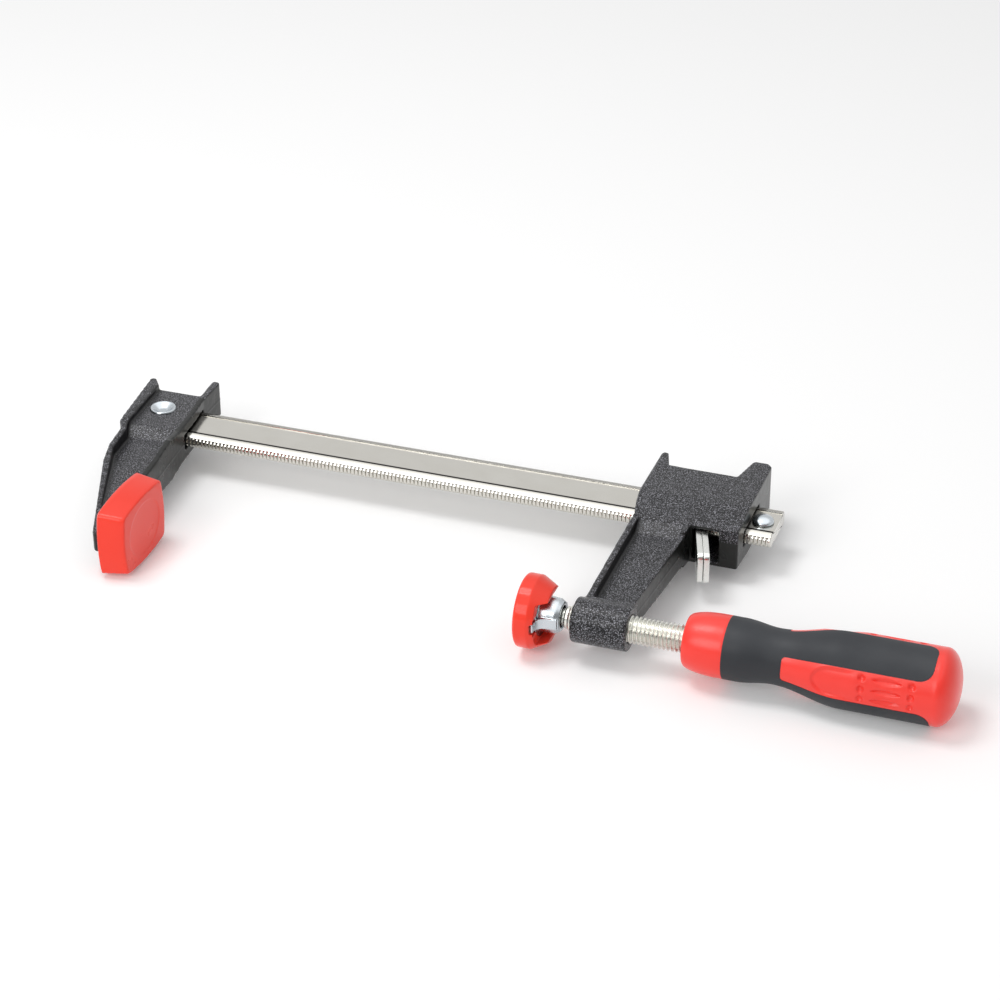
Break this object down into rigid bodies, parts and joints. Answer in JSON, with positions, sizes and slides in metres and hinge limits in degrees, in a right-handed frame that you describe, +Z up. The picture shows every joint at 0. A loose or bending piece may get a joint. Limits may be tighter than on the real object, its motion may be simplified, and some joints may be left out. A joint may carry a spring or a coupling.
{
  "type": "bar clamp",
  "caption": "Clutch bar clamp: notched steel bar, riveted fixed jaw, sliding jaw with sprung clutch plates, screw spindle with swivel pad and two-colour handle.",
  "frame": {"origin": "middle of the box in X and Y, on the surface that the clamp lies on, with the screw fully out and the sliding jaw at its stop", "axes": "+X along the bar from the fixed jaw to the handle, +Y from the pads to the bar, +Z up from the surface, square to the flat faces of the bar"},
  "size_m": [0.3408, 0.1238, 0.028],
  "materials": {
    "bar_steel": "nickel plated",
    "jaw_paint": "wrinkle powder coat",
    "zinc_steel": "zinc plated",
    "spring_steel": "bare spring wire",
    "spindle_steel": "nickel plated",
    "red_plastic": "glossy",
    "black_rubber": "matt"
  },
  "bodies": {
    "frame": {"bar": "bar_steel", "fixed_jaw": "jaw_paint", "head_rivet": "zinc_steel", "fixed_pad": "red_plastic", "end_stop_rivet": "zinc_steel"},
    "slider": {"sliding_jaw": "jaw_paint", "clutch_spring": "spring_steel"},
    "front_plate": {"clutch_plate_front": "zinc_steel"},
    "rear_plate": {"clutch_plate_rear": "zinc_steel"},
    "carrier": {"retaining_ring": "spring_steel"},
    "screw": {"spindle": "spindle_steel", "handle_core": "red_plastic", "handle_grip": "black_rubber"},
    "swivel": {"swivel_cup": "zinc_steel", "swivel_pad": "red_plastic"}
  },
  "joints": [
    {"name": "jaw_slide", "type": "slide", "parent": "frame", "child": "slider", "axis": [1, 0, 0], "range_m": [-0.1277, 0]},
    {"name": "clutch_front", "type": "hinge", "parent": "slider", "child": "front_plate", "pos_m": [0.06095, 0.0159, 0.014], "axis": [0, 0, 1], "range_deg": [-15, 0], "stiffness_Nm_per_rad": 0.3, "springref_deg": 20.05, "deforming": ["clutch_spring"]},
    {"name": "clutch_rear", "type": "hinge", "parent": "slider", "child": "rear_plate", "pos_m": [0.06316, 0.01631, 0.014], "axis": [0, 0, 1], "range_deg": [-15, 0]},
    {"name": "screw_feed", "type": "slide", "parent": "slider", "child": "carrier", "axis": [1, 0, 0], "range_m": [-0.0182, 0.0038]},
    {"name": "spindle_turn", "type": "hinge", "parent": "carrier", "child": "screw", "pos_m": [0, -0.0484, 0.014], "axis": [1, 0, 0], "range_deg": [-4380, 924]},
    {"name": "swivel_tilt", "type": "hinge", "parent": "carrier", "child": "swivel", "pos_m": [0.02585, -0.0484, 0.014], "axis": [0, 0, 1], "range_deg": [-6, 6]}
  ],
  "couplings": [
    {"joint": "clutch_rear", "follows": "clutch_front", "ratio": 1},
    {"joint": "spindle_turn", "follows": "screw_feed", "rad_per_m": 4188.8}
  ]
}
